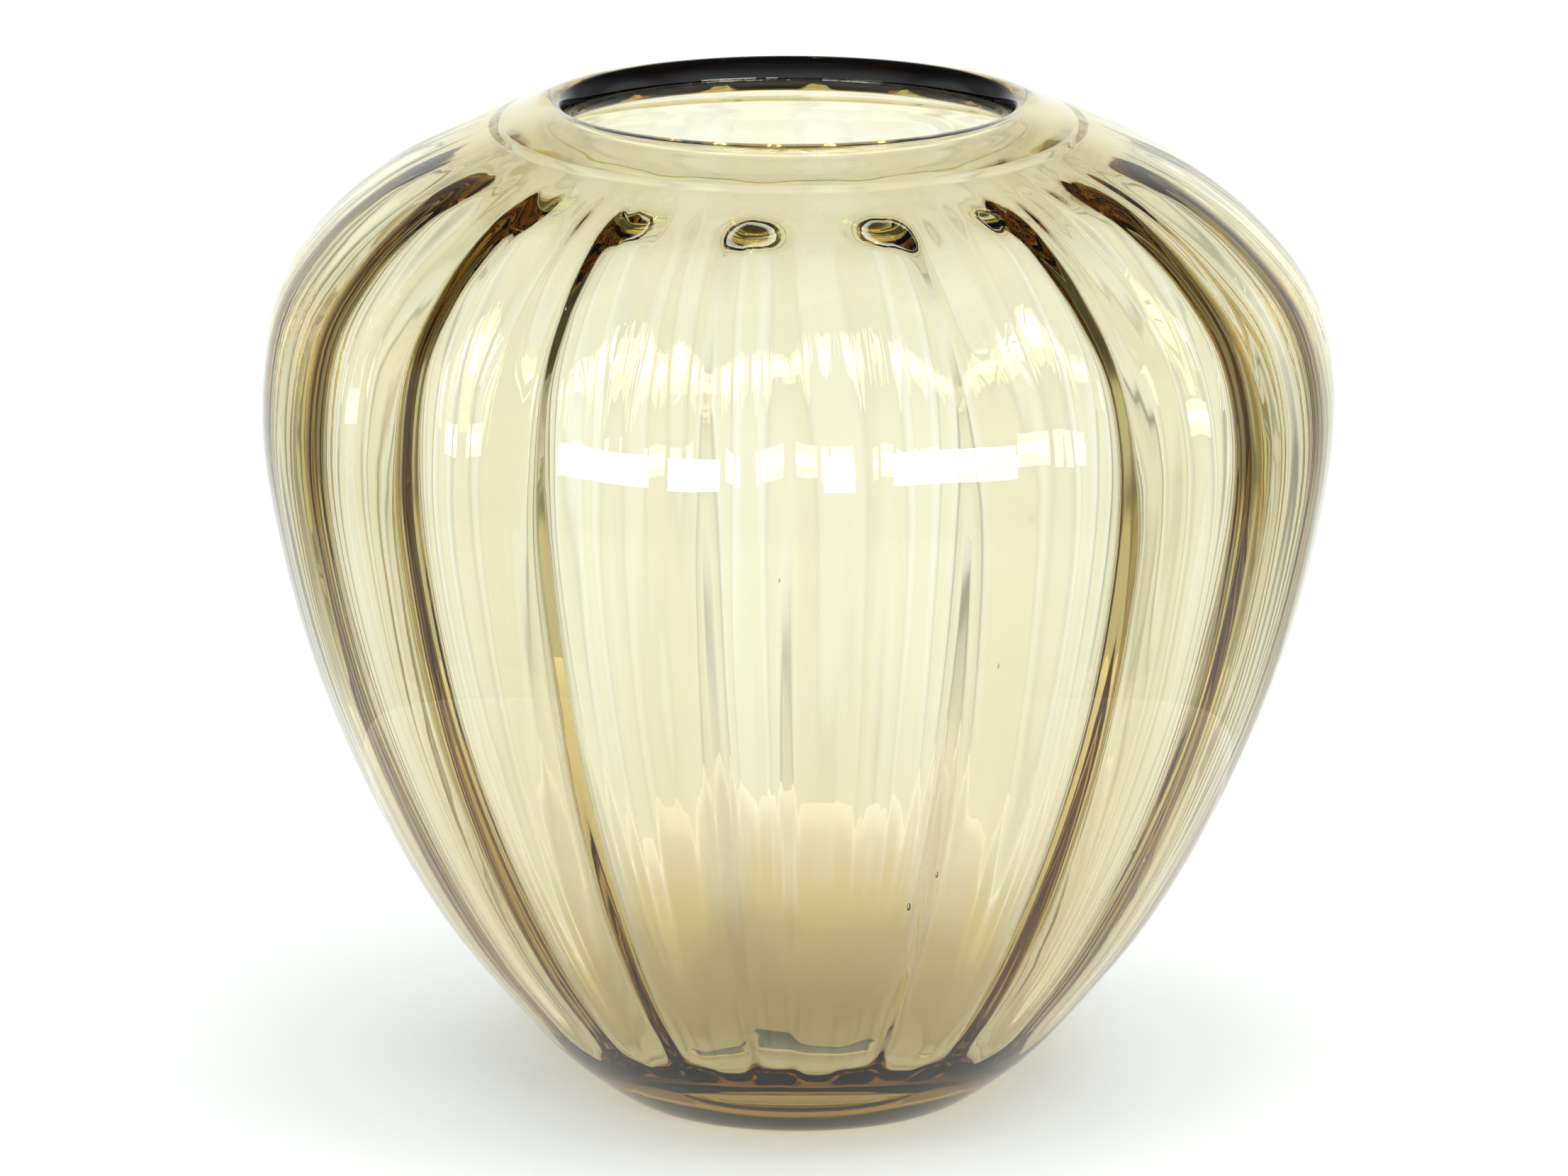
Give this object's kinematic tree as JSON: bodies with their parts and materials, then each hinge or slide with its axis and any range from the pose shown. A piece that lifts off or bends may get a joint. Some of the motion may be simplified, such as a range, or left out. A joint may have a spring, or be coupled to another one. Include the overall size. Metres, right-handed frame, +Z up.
{
  "type": "blown glass vase",
  "caption": "Squat, round-shouldered blown glass vase with vertical ribs inside its wall, a thick solid base, a necked-in plain collar and a rolled lip.",
  "frame": {"origin": "centre of the foot's flat underside, on the surface the vase stands on", "axes": "+Z up along the vase's axis of turning; +X to the right and -Y towards the viewer"},
  "size_m": [0.2096, 0.2096, 0.2],
  "materials": {
    "base_glass": "fire-polished amber glass, solid and deep in colour",
    "casing_glass": "fire-polished pale amber glass",
    "bubble_glass": "fire-polished pale amber glass with optic ribs",
    "collar_glass": "fire-polished amber glass",
    "lip_glass": "fire-polished amber glass, rolled edge"
  },
  "bodies": {
    "root": {"base_gather": "base_glass", "outer_casing": "casing_glass", "ribbed_bubble": "bubble_glass", "collar_ring": "collar_glass", "lip_roll": "lip_glass"}
  },
  "joints": []
}
